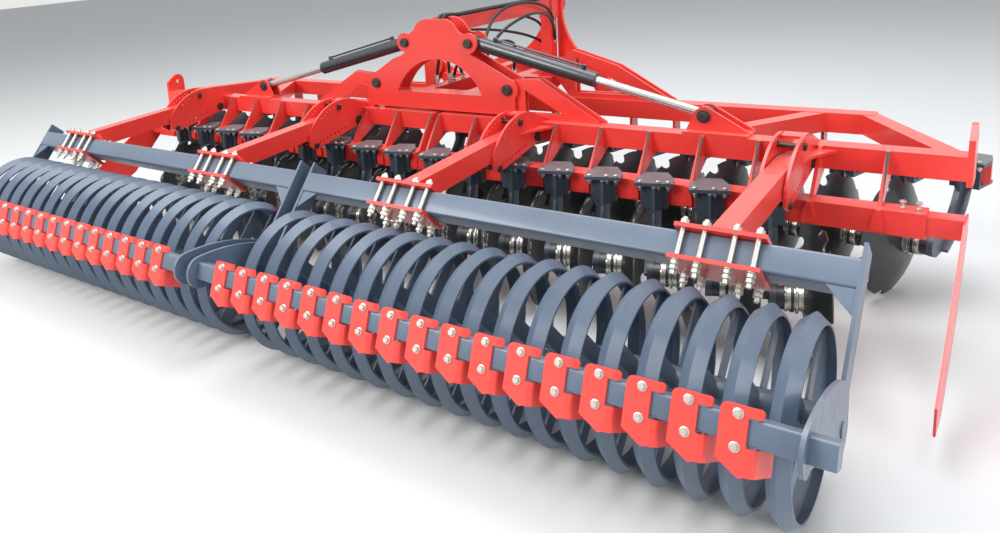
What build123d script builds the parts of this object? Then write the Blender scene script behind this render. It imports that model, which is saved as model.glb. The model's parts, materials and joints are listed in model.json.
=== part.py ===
from build123d import *
import os
from math import atan2, cos, degrees, hypot, radians, sin

# Folding disc harrow for a tractor's three-point linkage, unfolded and standing on its discs and rollers.
# Millimetres. X is across the machine, positive to the driver's right, Y is the way it drives, Z is up.
# Lengths named with "ahead" are measured forward from the roller axle, which lies at roller_y.

# Overall length, from which the roller axle's place is worked out
front_tip_ahead = 2990
rear_tip_behind = 476
roller_y = (rear_tip_behind - front_tip_ahead) / 2

# Ring roller: roof-shaped rings on a tube
ring_radius = 320
ring_roof_drop = 27
ring_width = 66
ring_wall = 8
ring_pitch = 125
ring_count = 18
ring_first_x = 150
spoke_count = 4
spoke_width = 60
spoke_thickness = 8
roller_tube_radius = 60
stub_radius = 25
bearing_clearance = 0.05

# Roller frame
roller_beam = 100
roller_beam_ahead = 295
roller_beam_z = 705
frame_plate = 12
roller_inner_x = 38
roller_outer_x = 2363
bearing_radius = 60
bearing_plate_radius = 105
scraper_bar = 70
scraper_bar_ahead = -433
scraper_bar_z = 525
scraper_bar_poke = 65

# Scrapers, one in each gap between two rings
scraper_sheet = 8
scraper_width = 58
scraper_top_z = 606
scraper_bottom_z = 400
scraper_tip_ahead = -285
scraper_flange_x = 14

# Wing frame of square tubes
tube = 100
wing_top_z = 797
rear_beam_ahead = 1443
front_beam_ahead = 2100
lower_rear_ahead = 1240
lower_front_ahead = 2100
lower_beam_z = 557
wing_inner_x = 20
wing_outer_x = 2545
front_beam_outer_x = 2130
rib_thickness = 15
rib_foot_half = 23
brace_width = 80

# Wing hinges and folding cylinders, all turning about lines along Y
hinge_x = 464
hinge_z = 954
hinge_pin_radius = 20
hinge_boss_radius = 50
pin_clearance = 0.05
cylinder_pin_x = 223
cylinder_pin_z = 1207
cylinder_pin_radius = 17.5
cylinder_ahead = 1490
lug_x = 1515
lug_z = 878
lug_plate = 15
lug_gap = 60
barrel_radius = 40
barrel_wall = 8
barrel_length = 758
barrel_bottom = 95
rod_radius = 22.5
piston_length = 50
eye_radius = 40
eye_width = 50

# Centre frame
tower_plate = 15
tower_front_gap = 94
tower_top_z = 1345
tower_shoulder_radius = 75
cross_box_x = 400
cross_bottom_z = 812
cross_top_z = 912
centre_tube_x = 160
centre_tube_width = 80
centre_tube_front_ahead = 2760

# Headstock, sized for a category 3 tractor linkage
lower_link_half_span = 482
lower_link_ahead = 2900
lower_link_z = 600
lower_link_gap = 50
top_link_ahead = 2930
top_link_z = 1285
top_link_gap = 56
link_bore_radius = 18.5
ear_plate = 22
ear_radius = 52

# Discs, their hubs and arms
disc_radius = 280
disc_depth = 70
disc_sheet = 6
disc_flat_radius = 62
notch_count = 10
notch_radius = 34
disc_angle = 17
disc_pitch = 250
hub_length = 100
hub_radius = 48
hub_gap = 0.3
axle_radius = 22
arm_thickness = 25
arm_flange = 65
arm_sheet = 14
arm_rib = 58
arm_reach = 338
clamp_width = 120
clamp_wall = 16
clamp_top_half = 86
clamp_overhang = 36
clamp_nose_half = 52
arm_seat_gap = 0.3

# Roller arms between the wing frame and the roller beam
roller_arm_x = (625, 1950)
roller_arm_width = 80
roller_arm_height = 100
roller_arm_foot_z = 762
roller_arm_head_z = 793
roller_pivot_ahead = 1345
roller_pivot_z = 732
roller_pivot_radius = 40
upper_stop = (1175, 842)
lower_stop = (955, 655)
stop_radius = 10
stop_hole_count = 8
bracket_plate = 12
bracket_gap = 4
foot_half_length = 150
foot_plate = 15
foot_gusset = 62

# Side plates that stop the soil
insert_size = 80
insert_wall_gap = 0.3
side_plate_x = 2560
side_plate_sheet = 8

os.makedirs("parts", exist_ok=True)
axle_z = ring_radius


def write(shape, name):
    shape.label = name
    export_step(shape, f"parts/{name}.step")


def bar(x, ahead, z, mode=Mode.ADD):
    """Makes a box between two values across, two ahead of the roller axle and two in height."""
    middle = (sum(x) / 2, roller_y + sum(ahead) / 2, sum(z) / 2)
    with Locations(middle):
        Box(abs(x[1] - x[0]), abs(ahead[1] - ahead[0]), abs(z[1] - z[0]), mode=mode)


def across(x):
    """A plane in which X is the distance ahead of the roller axle and Y the height, at one X."""
    return Plane(origin=(x, roller_y, 0), x_dir=(0, 1, 0), z_dir=(1, 0, 0))


def facing(ahead):
    """A plane in which X is the machine's X and Y the height; it is extruded rearwards."""
    return Plane(origin=(0, roller_y + ahead, 0), x_dir=(1, 0, 0), z_dir=(0, -1, 0))


def upright(origin, x_dir):
    """A vertical plane through a point given with its distance ahead; X runs level, Y is the height."""
    return Plane(
        origin=(origin[0], roller_y + origin[1], 0),
        x_dir=(x_dir[0], x_dir[1], 0),
        z_dir=(x_dir[1], -x_dir[0], 0),
    )


def round_bar(radius, x, ahead, z, axis="y", mode=Mode.ADD):
    """Makes a round bar along X or Y; the value on its own axis is a pair of ends."""
    if axis == "x":
        middle, length, turn = (sum(x) / 2, roller_y + ahead, z), abs(x[1] - x[0]), (0, 90, 0)
    else:
        middle, length, turn = (x, roller_y + sum(ahead) / 2, z), abs(ahead[1] - ahead[0]), (90, 0, 0)
    with Locations(middle):
        Cylinder(radius, length, rotation=turn, mode=mode)


def around(value, size):
    return (value - size / 2, value + size / 2)


# Rollers
with BuildPart() as ring:
    with BuildSketch(Plane.XZ):
        with BuildLine():
            Polyline(
                (-ring_width / 2, ring_radius - ring_roof_drop),
                (0, ring_radius),
                (ring_width / 2, ring_radius - ring_roof_drop),
                (ring_width / 2, ring_radius - ring_roof_drop - ring_wall),
                (0, ring_radius - ring_wall * 1.3),
                (-ring_width / 2, ring_radius - ring_roof_drop - ring_wall),
                close=True,
            )
        make_face()
    revolve(axis=Axis.X)
    spoke_inner = roller_tube_radius - 5
    spoke_outer = ring_radius - ring_wall
    with BuildSketch(Plane.YZ.offset(-spoke_thickness / 2)):
        with PolarLocations((spoke_inner + spoke_outer) / 2, spoke_count, start_angle=45):
            Rectangle(spoke_outer - spoke_inner, spoke_width)
    extrude(amount=spoke_thickness)

roller_length = ring_first_x + (ring_count - 1) * ring_pitch + ring_width / 2 + 15
for name, side in (("left", -1), ("right", 1)):
    ring_places = [(side * (ring_first_x + i * ring_pitch), roller_y, axle_z) for i in range(ring_count)]
    tube_x = (side * (ring_first_x - ring_width / 2 - 15), side * roller_length)
    stub_x = (side * (roller_inner_x - 4), side * (roller_outer_x + frame_plate + 4))
    with BuildPart() as roller:
        with Locations(*ring_places):
            add(ring.part)
        with Locations((sum(tube_x) / 2, roller_y, axle_z)):
            Cylinder(roller_tube_radius, abs(tube_x[1] - tube_x[0]), rotation=(0, 90, 0))
        with Locations((sum(stub_x) / 2, roller_y, axle_z)):
            Cylinder(stub_radius, abs(stub_x[1] - stub_x[0]), rotation=(0, 90, 0))
    write(roller.part, f"roller_{name}")

# Roller frames: beam, end plates with bearings, scraper bar
beam_half = roller_beam / 2
beam_front_ahead = roller_beam_ahead + beam_half
beam_rear_ahead = roller_beam_ahead - beam_half
beam_top = roller_beam_z + beam_half
hook_radius = 68
leg_lip = 10
for name, side in (("left", -1), ("right", 1)):
    inner_x = side * roller_inner_x
    outer_x = side * (roller_outer_x + frame_plate)
    with BuildPart() as roller_frame:
        bar((inner_x, outer_x), around(roller_beam_ahead, roller_beam), around(roller_beam_z, roller_beam))
        bar(
            (inner_x, outer_x + side * scraper_bar_poke),
            around(scraper_bar_ahead, scraper_bar),
            around(scraper_bar_z, scraper_bar),
        )
        for plate_x in (inner_x, outer_x - side * frame_plate):
            with BuildSketch(across(plate_x)):
                with BuildLine():
                    Polyline(
                        (30, axle_z + 140),
                        (beam_rear_ahead - 48, roller_beam_z - beam_half),
                        (beam_front_ahead - 10, beam_top + leg_lip),
                        (beam_front_ahead + leg_lip, beam_top + leg_lip),
                        (beam_front_ahead + leg_lip, roller_beam_z - beam_half - 25),
                        (95, axle_z - 45),
                    )
                    ThreePointArc((95, axle_z - 45), (0, axle_z - bearing_plate_radius), (-95, axle_z - 45))
                    ThreePointArc((-95, axle_z - 45), (-240, 365), (-405, 452))
                    ThreePointArc((-405, 452), (scraper_bar_ahead - hook_radius, 500), (-445, scraper_bar_z + 60))
                    ThreePointArc((-445, scraper_bar_z + 60), (-190, 545), (30, axle_z + 140))
                make_face()
            extrude(amount=side * frame_plate)
            bearing_side = side if plate_x == inner_x else -side
            face_x = inner_x + side * frame_plate if plate_x == inner_x else plate_x
            for radius, reach in ((bearing_radius + 14, 12), (bearing_radius, 32)):
                round_bar(radius, (face_x, face_x + bearing_side * reach), 0, axle_z, axis="x")
            with BuildSketch(facing(beam_rear_ahead + 12)):
                with BuildLine():
                    low = roller_beam_z - beam_half
                    Polyline((face_x, low), (face_x + bearing_side * 85, low), (face_x, low - 85), close=True)
                make_face()
            extrude(amount=10)
        round_bar(stub_radius + bearing_clearance, (side * 20, side * 2420), 0, axle_z, axis="x", mode=Mode.SUBTRACT)
    write(roller_frame.part, f"roller_frame_{name}")

# Scrapers: sheet bent forward at one edge, open where the bar passes, with a long flange between the rings
bar_rear = scraper_bar_ahead - scraper_bar / 2
bar_low = scraper_bar_z - scraper_bar / 2
bar_high = scraper_bar_z + scraper_bar / 2
bend = 16
face_left = -scraper_width / 2
face_right = scraper_flange_x + scraper_sheet
with BuildPart() as scraper:
    with BuildSketch(Plane.XY.offset(scraper_bottom_z)):
        with BuildLine():
            Line((face_left, roller_y + bar_rear - scraper_sheet), (face_right - bend, roller_y + bar_rear - scraper_sheet))
            RadiusArc(
                (face_right - bend, roller_y + bar_rear - scraper_sheet),
                (face_right, roller_y + bar_rear - scraper_sheet + bend),
                -bend,
            )
            Line((face_right, roller_y + bar_rear - scraper_sheet + bend), (face_right, roller_y + scraper_tip_ahead))
            Line((face_right, roller_y + scraper_tip_ahead), (face_right - scraper_sheet, roller_y + scraper_tip_ahead))
            Line(
                (face_right - scraper_sheet, roller_y + scraper_tip_ahead),
                (face_right - scraper_sheet, roller_y + bar_rear - scraper_sheet + bend),
            )
            RadiusArc(
                (face_right - scraper_sheet, roller_y + bar_rear - scraper_sheet + bend),
                (face_right - bend, roller_y + bar_rear),
                bend - scraper_sheet,
            )
            Line((face_right - bend, roller_y + bar_rear), (face_left, roller_y + bar_rear))
            Line((face_left, roller_y + bar_rear), (face_left, roller_y + bar_rear - scraper_sheet))
        make_face()
    extrude(amount=scraper_top_z - scraper_bottom_z)
    with BuildSketch(facing(scraper_tip_ahead + 10)):
        with BuildLine():
            Polyline(
                (face_left, scraper_bottom_z),
                (face_left, scraper_bottom_z + 62),
                (face_right - bend - 6, scraper_bottom_z),
                close=True,
            )
        make_face()
    extrude(amount=260, mode=Mode.SUBTRACT)
    with BuildSketch(across(face_right - bend - 1)):
        with BuildLine():
            Polyline(
                (bar_rear - 20, bar_high),
                (bar_rear - 20, bar_low),
                (bar_rear + scraper_bar, bar_low),
                (scraper_tip_ahead + 10, bar_low - 60),
                (scraper_tip_ahead + 10, scraper_top_z + 10),
                (bar_rear + scraper_bar * 0.55, scraper_top_z + 10),
                (bar_rear + scraper_bar * 0.55, bar_high),
                close=True,
            )
        make_face()
    extrude(amount=bend + 10, mode=Mode.SUBTRACT)
    with BuildSketch(across(face_right - bend - 1)):
        with BuildLine():
            Polyline(
                (bar_rear + 4, scraper_bottom_z),
                (scraper_tip_ahead + 10, scraper_bottom_z),
                (scraper_tip_ahead + 10, scraper_bottom_z + 35),
                close=True,
            )
        make_face()
    extrude(amount=bend + 10, mode=Mode.SUBTRACT)
    corner_edges = scraper.edges().filter_by(Axis.Y).group_by(Axis.Z)[-1]
    fillet(corner_edges.sort_by(Axis.X)[0], radius=14)

for name, side in (("left", -1), ("right", 1)):
    gap_places = [(side * (ring_first_x + (i + 0.5) * ring_pitch), 0, 0) for i in range(ring_count - 1)]
    with BuildPart() as scrapers:
        with Locations(*gap_places):
            add(scraper.part)
    write(scrapers.part, f"scrapers_{name}")

# Roller arm: a box tube hinged in the wing's bracket, with a foot of two plates clamped on the roller beam
gusset_plate = 12
foot_ahead = (beam_rear_ahead - 30, beam_front_ahead + 75)
foot_top = beam_top + foot_plate
low_face = roller_arm_foot_z - roller_arm_height
with BuildPart() as roller_arm:
    with BuildSketch(across(-roller_arm_width / 2)):
        with BuildLine():
            Polyline(
                (roller_pivot_ahead, roller_pivot_z - roller_pivot_radius),
                (905, roller_arm_head_z - roller_arm_height),
                (beam_front_ahead, low_face),
                (beam_front_ahead, foot_top),
                (roller_beam_ahead - 30, foot_top),
                (roller_beam_ahead, roller_arm_foot_z + 36),
                (beam_front_ahead + 10, roller_arm_foot_z + 36),
                (beam_front_ahead + 110, roller_arm_foot_z + 5),
                (905, roller_arm_head_z),
                (1150, roller_arm_head_z + 7),
                (roller_pivot_ahead, roller_pivot_z + roller_pivot_radius),
            )
            ThreePointArc(
                (roller_pivot_ahead, roller_pivot_z + roller_pivot_radius),
                (roller_pivot_ahead + roller_pivot_radius, roller_pivot_z),
                (roller_pivot_ahead, roller_pivot_z - roller_pivot_radius),
            )
        make_face()
    extrude(amount=roller_arm_width)
    bar(around(0, 2 * foot_half_length), foot_ahead, (beam_top, foot_top))
    under = beam_top - roller_beam
    bar(around(0, 2 * foot_half_length), (foot_ahead[0], beam_front_ahead + 30), (under - foot_plate, under))
    with BuildSketch(facing(beam_front_ahead + 18)):
        with BuildLine():
            Polyline(
                (15 - foot_half_length, foot_top),
                (foot_half_length - 15, foot_top),
                (roller_arm_width / 2, foot_top + foot_gusset),
                (-roller_arm_width / 2, foot_top + foot_gusset),
                close=True,
            )
        make_face()
    extrude(amount=gusset_plate)
    pivot_span = around(0, 2 * roller_arm_width)
    round_bar(15 + pin_clearance, pivot_span, roller_pivot_ahead, roller_pivot_z, axis="x", mode=Mode.SUBTRACT)

for name, side in (("left", -1), ("right", 1)):
    with BuildPart() as roller_arms:
        with Locations(*[(side * x, 0, 0) for x in roller_arm_x]):
            add(roller_arm.part)
    write(roller_arms.part, f"roller_arms_{name}")

# Wing frames
rear_ahead = around(rear_beam_ahead, tube)
front_ahead = around(front_beam_ahead, tube)
upper_z = (wing_top_z - tube, wing_top_z)
lower_z = around(lower_beam_z, tube)
lower_rear = around(lower_rear_ahead, tube)
lower_front = around(lower_front_ahead, tube)

# name, side, outer end of the lower front beam, first front rib, front ribs
wings = (
    ("left", -1, 2320, 95, 9),
    ("right", 1, 2600, 155, 8),
)
lower_rear_end = 2440


# Hinge plates: front face, thickness, outer foot's X, crests of the outline as (X, height)
hinge_plates = (
    (cylinder_ahead - 27, 14, 985, ((640, 1018),)),
    (rear_beam_ahead + tube / 2, 14, 1015, ((655, 1018),)),
    (front_beam_ahead - 20, 15, 1146, ((545, 1084), (820, 998))),
    (front_beam_ahead + 35, 15, 1146, ((545, 1084), (820, 998))),
)


def brace(start, end):
    """Adds a tube as high as the wing's, between two points given as (X, ahead)."""
    run = (end[0] - start[0], end[1] - start[1])
    middle = ((start[0] + end[0]) / 2, roller_y + (start[1] + end[1]) / 2, sum(upper_z) / 2)
    turn = degrees(atan2(run[1], run[0]))
    with Locations(Location(middle, (0, 0, turn))):
        Box(hypot(*run), brace_width, tube - 4)


# Bracket for one roller arm: two plates with a bowed top and rows of stop holes, its pins, and a gusset
bracket_rear = 905
bracket_top_ahead = 1200
bracket_top_z = 885
bracket_bow = 355
stop_hole_radius = 7
bracket_inner = roller_arm_width / 2 + bracket_gap
bracket_outer = bracket_inner + bracket_plate
rear_face = rear_ahead[0]
with BuildPart() as bracket:
    for plate_side in (-1, 1):
        with BuildSketch(across(plate_side * bracket_inner)):
            with BuildLine():
                Polyline(
                    (bracket_rear, 727),
                    (bracket_rear, 660),
                    (950, 632),
                    (rear_face + 7, 706),
                    (rear_face + 7, wing_top_z),
                    (rear_ahead[1] - 5, wing_top_z),
                    (1358, 848),
                )
                ThreePointArc((1358, 848), (bracket_top_ahead, bracket_top_z), (bracket_rear, 727))
            make_face()
            with Locations((bracket_top_ahead, bracket_top_z - bracket_bow)):
                with PolarLocations(bracket_bow - 26, stop_hole_count, start_angle=91, angular_range=42):
                    Circle(stop_hole_radius, mode=Mode.SUBTRACT)
            with Locations(*[(990 + 33 * i, 668 + 6 * i) for i in range(stop_hole_count)]):
                Circle(stop_hole_radius, mode=Mode.SUBTRACT)
        extrude(amount=plate_side * bracket_plate)
    for radius, (pin_ahead, pin_z) in (
        (15, (roller_pivot_ahead, roller_pivot_z)),
        (stop_radius, upper_stop),
        (stop_radius, lower_stop),
    ):
        round_bar(radius, around(0, 2 * bracket_outer + 24), pin_ahead, pin_z, axis="x")
        for end in (-1, 1):
            head = (end * bracket_outer, end * (bracket_outer + 10))
            round_bar(radius * 1.7, head, pin_ahead, pin_z, axis="x")
    bar(around(0, 2 * bracket_inner + 2), (1210, 1290), (bracket_top_z - 22, bracket_top_z - 10))
    with BuildSketch(Plane.XY.offset(770)):
        with BuildLine():
            Polyline(
                (bracket_outer, roller_y + 1160),
                (bracket_outer, roller_y + rear_face),
                (bracket_outer + 85, roller_y + rear_face),
            )
            ThreePointArc(
                (bracket_outer + 85, roller_y + rear_face),
                (bracket_outer + 30, roller_y + 1287),
                (bracket_outer, roller_y + 1160),
            )
        make_face()
    extrude(amount=gusset_plate)

# Rib between the two rear beams, with the small gusset behind the lower one
with BuildPart() as rear_rib:
    with BuildSketch(across(-rib_thickness / 2)):
        with BuildLine():
            Polyline(
                (rear_face - 12, wing_top_z),
                (rear_face, wing_top_z),
                (rear_face, upper_z[0]),
                (rear_ahead[1] - 12, upper_z[0]),
                (lower_rear[1], lower_z[1]),
                (lower_rear[0] + 40, lower_z[1]),
                close=True,
            )
        make_face()
    extrude(amount=rib_thickness)
    with BuildSketch(facing(lower_rear[0])):
        with BuildLine():
            Polyline(
                (-rib_foot_half, lower_z[0] + 10),
                (rib_foot_half, lower_z[0] + 10),
                (rib_foot_half, lower_z[0] + 45),
                (8, lower_z[1]),
                (-8, lower_z[1]),
                (-rib_foot_half, lower_z[0] + 45),
                close=True,
            )
        make_face()
    extrude(amount=gusset_plate)

# What both wings share, drawn for the right one
with BuildPart() as wing:
    bar((wing_inner_x, wing_outer_x), rear_ahead, upper_z)
    bar((wing_inner_x, front_beam_outer_x), front_ahead, upper_z)
    bar((wing_inner_x, lower_rear_end), lower_rear, lower_z)
    brace((120, rear_beam_ahead), (120, front_beam_ahead))
    brace((lug_x - 20, rear_beam_ahead), (1900, front_beam_ahead))
    brace((front_beam_outer_x - 35, front_beam_ahead), (wing_outer_x - 40, rear_beam_ahead))
    with Locations(*[(wing_inner_x + rib_thickness / 2 + i * disc_pitch, 0, 0) for i in range(10)]):
        add(rear_rib.part)
    with Locations(*[(x, 0, 0) for x in roller_arm_x]):
        add(bracket.part)
    for lug_front in (cylinder_ahead - lug_gap / 2, cylinder_ahead + lug_gap / 2 + lug_plate):
        with BuildSketch(facing(lug_front)):
            with Locations((lug_x, lug_z)):
                Circle(46)
            with Locations((lug_x + 62, wing_top_z + 8)):
                Rectangle(285, 16)
            make_hull()
        extrude(amount=lug_plate)
    lug_base = (rear_face, cylinder_ahead + lug_gap / 2 + lug_plate + 5)
    bar((lug_x - 85, lug_x + 210), lug_base, (wing_top_z, wing_top_z + 12))
    for plate_front, plate_thickness, foot_x, crest in hinge_plates:
        with BuildSketch(facing(plate_front)):
            with Locations((hinge_x, hinge_z)):
                Circle(hinge_boss_radius)
            with Locations(*[(crest_x, crest_z - 15) for crest_x, crest_z in crest]):
                Circle(15)
            with Locations(((520 + foot_x) / 2, wing_top_z + 5)):
                Rectangle(foot_x - 520, 10)
            make_hull()
            with BuildLine():
                Polyline(
                    (560, wing_top_z + 30),
                    (foot_x - 190, wing_top_z + 30),
                    (560, wing_top_z + 30 + (foot_x - 750) * 0.55),
                    close=True,
                )
            make_face(mode=Mode.SUBTRACT)
        extrude(amount=plate_thickness)
    round_bar(hinge_pin_radius + pin_clearance, hinge_x, (1300, 2300), hinge_z, mode=Mode.SUBTRACT)
    bore = insert_size + 2 * insert_wall_gap
    bore_x = (lower_rear_end - 240, lower_rear_end + 1)
    bar(bore_x, around(lower_rear_ahead, bore), around(lower_beam_z, bore), mode=Mode.SUBTRACT)
    with BuildSketch(across(wing_outer_x)):
        with Locations((rear_beam_ahead + 25, 770)):
            Rectangle(150, 190)
        with Locations((rear_beam_ahead + 45, 862)):
            Circle(56)
        make_hull()
        with Locations((rear_beam_ahead + 45, 862)):
            Circle(16, mode=Mode.SUBTRACT)
    extrude(amount=22)

# The lower front beam and its ribs follow the discs, which stand farther out on the right
for name, side, front_end, front_rib_x, front_ribs in wings:
    with BuildPart() as wing_frame:
        if side > 0:
            add(wing.part)
        else:
            mirror(wing.part, about=Plane.YZ)
        bar((side * wing_inner_x, side * front_end), lower_front, lower_z)
        with Locations(*[
            (side * (front_rib_x + i * disc_pitch), roller_y + lower_front_ahead, (lower_z[1] + upper_z[0]) / 2)
            for i in range(front_ribs)
        ]):
            Box(rib_thickness, 80, upper_z[0] - lower_z[1])
    write(wing_frame.part, f"wing_frame_{name}")

# Disc arms: a clamp round the lower beam and a curved arm in the plane of its disc
# name, row, side that the arms lean to, lower beam's centre ahead, clamps' X
rows = (
    ("rear_right", 1, lower_rear_ahead, [110 + disc_pitch * i for i in range(8)]),
    ("rear_left", 1, lower_rear_ahead, [-140 - disc_pitch * i for i in range(9)]),
    ("front_right", -1, lower_front_ahead, [280 + disc_pitch * i for i in range(10)]),
    ("front_left", -1, lower_front_ahead, [-220 - disc_pitch * i for i in range(9)]),
)
lean = radians(disc_angle)
arm_run = arm_reach / cos(lean)


with BuildPart() as dish:
    flat_rim = disc_flat_radius
    with BuildSketch(Plane.XZ):
        with BuildLine():
            Line((0, 0), (flat_rim, 0))
            ThreePointArc((flat_rim, 0), (disc_radius * 0.63, disc_depth * 0.33), (disc_radius, disc_depth))
            Line((disc_radius, disc_depth), (disc_radius - 4, disc_depth + disc_sheet))
            ThreePointArc(
                (disc_radius - 4, disc_depth + disc_sheet),
                (disc_radius * 0.63 - 2, disc_depth * 0.33 + disc_sheet),
                (flat_rim, disc_sheet),
            )
            Polyline((flat_rim, disc_sheet), (0, disc_sheet), (0, 0))
        make_face()
    revolve(axis=Axis.Z)
    with BuildSketch(Plane.XY):
        with PolarLocations(disc_radius + 4, notch_count):
            Circle(notch_radius)
    extrude(amount=disc_depth * 2, mode=Mode.SUBTRACT)
    with BuildSketch(Plane.XY):
        Circle(hub_radius)
    extrude(amount=-hub_length)
    with BuildSketch(Plane.XY.offset(-hub_length * 0.35)):
        Circle(hub_radius + 8)
    extrude(amount=-12)
    with BuildSketch(Plane.XY.offset(-hub_length)):
        Circle(axle_radius + bearing_clearance)
    extrude(amount=hub_length * 0.7, mode=Mode.SUBTRACT)

# One arm of each row, turned with its disc: plates above, behind and below the beam, and a curved T-shaped arm
clamp_back = (tube / 2 + clamp_width / 2 * sin(lean) + 1) / cos(lean)
clamp_rear = clamp_back + clamp_wall
heel = (clamp_rear + arm_seat_gap, lower_z[0] - clamp_wall - 6)
arm_top = lower_z[1] - arm_seat_gap
for turn, ahead in ((1, lower_rear_ahead), (-1, lower_front_ahead)):
    with BuildPart() as arm:
        middle = Location((0, roller_y + ahead, 0), (0, 0, turn * disc_angle))
        with BuildSketch(Plane(middle).offset(lower_z[1])):
            with BuildLine():
                Polyline(
                    (-clamp_top_half, -clamp_rear - clamp_overhang),
                    (clamp_top_half, -clamp_rear - clamp_overhang),
                    (clamp_top_half, -40),
                    (clamp_nose_half, 60),
                    (-clamp_nose_half, 60),
                    (-clamp_top_half, -40),
                    close=True,
                )
            make_face()
        extrude(amount=clamp_wall)
        with Locations(middle * Location((0, (60 - clamp_rear) / 2, lower_z[0] - clamp_wall / 2))):
            Box(clamp_width, 60 + clamp_rear, clamp_wall)
        with Locations(middle * Location((0, -clamp_back - clamp_wall / 2, lower_beam_z))):
            Box(clamp_width, clamp_wall, tube + 2 * clamp_wall)
        plane = upright((0, ahead), (turn * sin(lean), -cos(lean)))
        for width, depth, short in ((arm_flange, arm_sheet, 62), (arm_sheet, arm_rib, 34)):
            toe = (arm_run - short, disc_radius - 42)
            toe_far = (toe[0] + depth * 0.35, toe[1] + depth * 0.94)
            with BuildSketch(plane.offset(-width / 2)):
                with BuildLine():
                    Line((heel[0], arm_top), heel)
                    ThreePointArc(heel, (162, 352), toe)
                    Line(toe, toe_far)
                    ThreePointArc(toe_far, (162 + depth * 0.75, 352 + depth * 0.7), (heel[0] + depth, heel[1]))
                    Line((heel[0] + depth, heel[1]), (heel[0] + depth, arm_top))
                    Line((heel[0] + depth, arm_top), (heel[0], arm_top))
                make_face()
            extrude(amount=width)
        with BuildSketch(plane.offset(-arm_thickness / 2)):
            with Locations((arm_run, disc_radius)):
                Circle(50)
            with Locations((arm_run - 38, disc_radius + 6)):
                Rectangle(40, 84)
            make_hull()
        extrude(amount=arm_thickness)
        with BuildSketch(plane.offset(-turn * arm_thickness / 2)):
            with Locations((arm_run, disc_radius)):
                Circle(axle_radius)
        extrude(amount=-turn * hub_length * 0.6)
    for name, row_turn, row_ahead, clamp_xs in rows:
        if row_turn == turn:
            with BuildPart() as arms:
                with Locations(*[(x, 0, 0) for x in clamp_xs]):
                    add(arm.part)
            write(arms.part, f"disc_arms_{name}")

for name, turn, ahead, clamp_xs in rows:
    for number, x in enumerate(clamp_xs, start=1):
        plane = upright((x, ahead), (turn * sin(lean), -cos(lean)))
        seat = arm_thickness / 2 + hub_gap + hub_length
        centre = plane.from_local_coords((arm_run, disc_radius, -turn * seat))
        place = Plane(origin=centre, x_dir=plane.x_dir, z_dir=plane.z_dir * -turn)
        with BuildPart(place) as disc:
            add(dish.part)
        write(disc.part, f"disc_{name}_{number}")

# Side plates that keep the soil inside, each on a tube that slides in the end of the lower rear beam
for name, side in (("left", -1), ("right", 1)):
    with BuildPart() as side_plate:
        insert_x = (side * (lower_rear_end - 235), side * side_plate_x)
        bar(insert_x, around(lower_rear_ahead, insert_size), around(lower_beam_z, insert_size))
        with BuildSketch(across(side * side_plate_x)):
            with BuildLine():
                Polyline((1290, 500), (1290, 600), (1150, 600), (450, 210), (450, 110), (640, 90), (1010, 250), close=True)
            make_face()
        extrude(amount=side * side_plate_sheet)
    write(side_plate.part, f"side_plate_{name}")

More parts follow.
